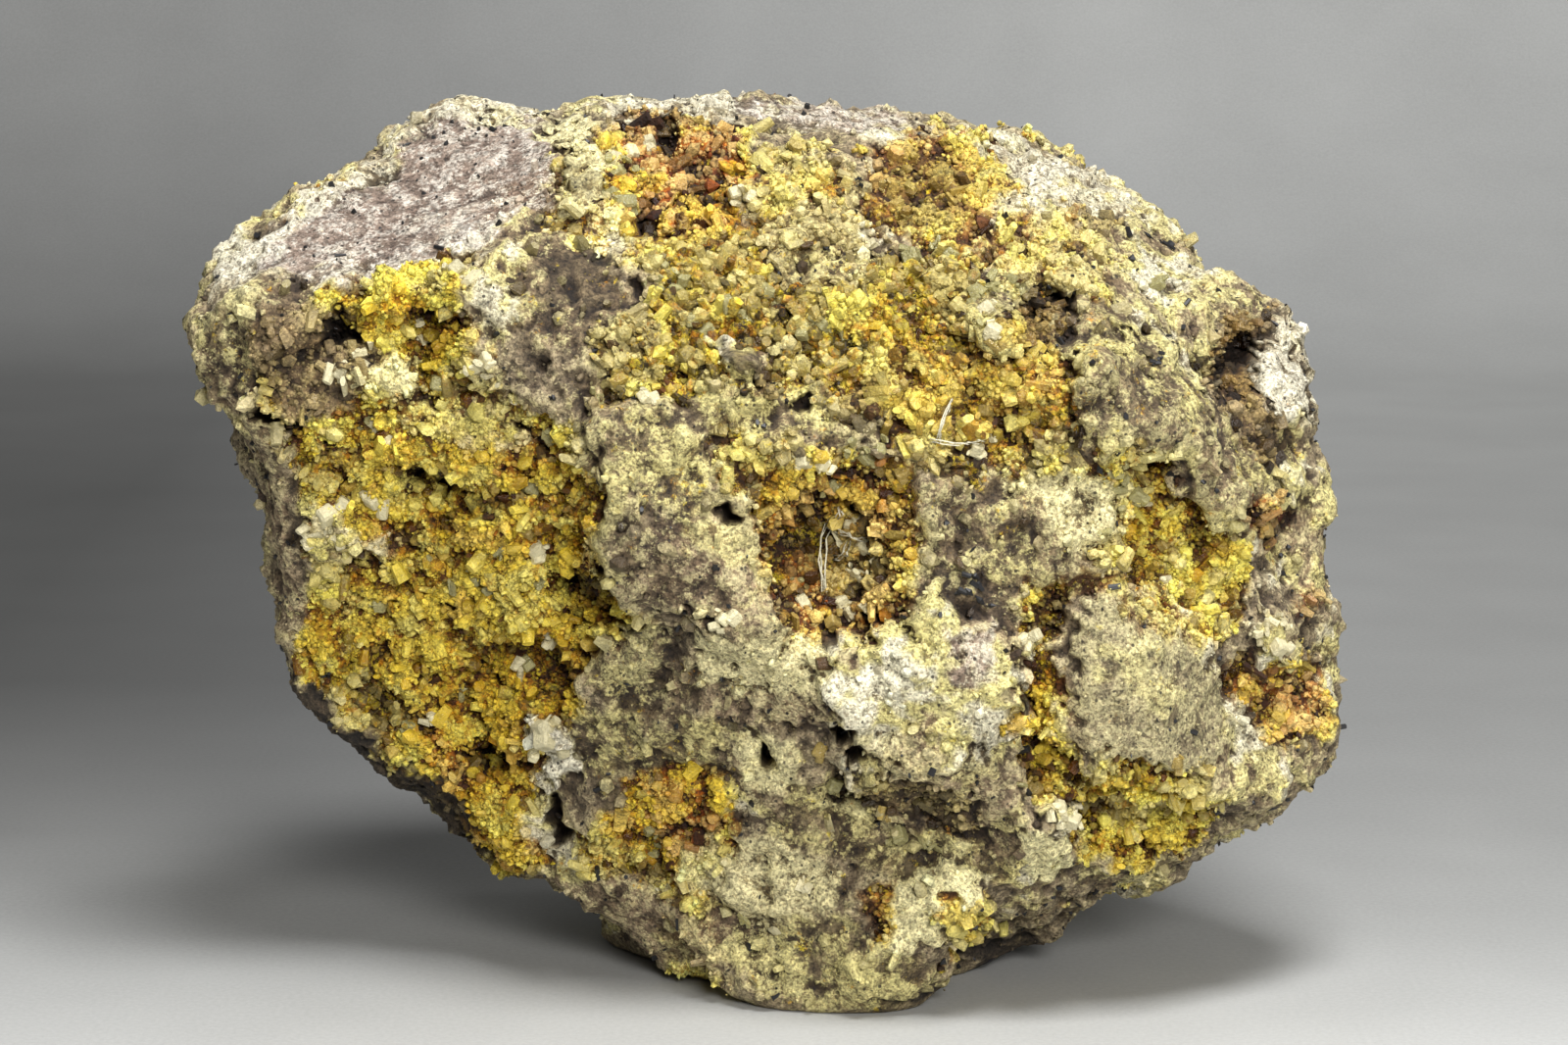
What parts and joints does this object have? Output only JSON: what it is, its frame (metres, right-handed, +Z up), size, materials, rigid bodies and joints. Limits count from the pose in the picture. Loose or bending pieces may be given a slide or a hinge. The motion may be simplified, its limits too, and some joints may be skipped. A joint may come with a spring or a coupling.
{
  "type": "mineral specimen",
  "caption": "Hand-sized broken block of pale altered tuff standing on a flat broken foot, its front hollows lined with sunken crusts of blunt crystals.",
  "frame": {"origin": "middle of the underside of the box around the whole specimen, level with its flat broken foot", "axes": "+X to the right seen from the front, +Z up, the crystal-lined front faces -Y"},
  "size_m": [0.1004, 0.0618, 0.0774],
  "materials": {
    "altered_tuff": "rough broken grey-mauve tuff with cream mottling",
    "yellow_druse": "granular sulphur-yellow crystal crust",
    "ochre_druse": "granular ochre crystal crust",
    "rust_druse": "granular rust-brown crystal crust"
  },
  "bodies": {
    "root": {"altered_tuff": "altered_tuff", "left_druse": "yellow_druse", "middle_druse": "yellow_druse", "right_druse": "yellow_druse", "vug_druse": "ochre_druse", "channel_druse": "ochre_druse", "lower_druse": "ochre_druse", "rim_druse": "ochre_druse", "rusty_druse": "rust_druse", "edge_druse": "rust_druse"}
  },
  "joints": []
}
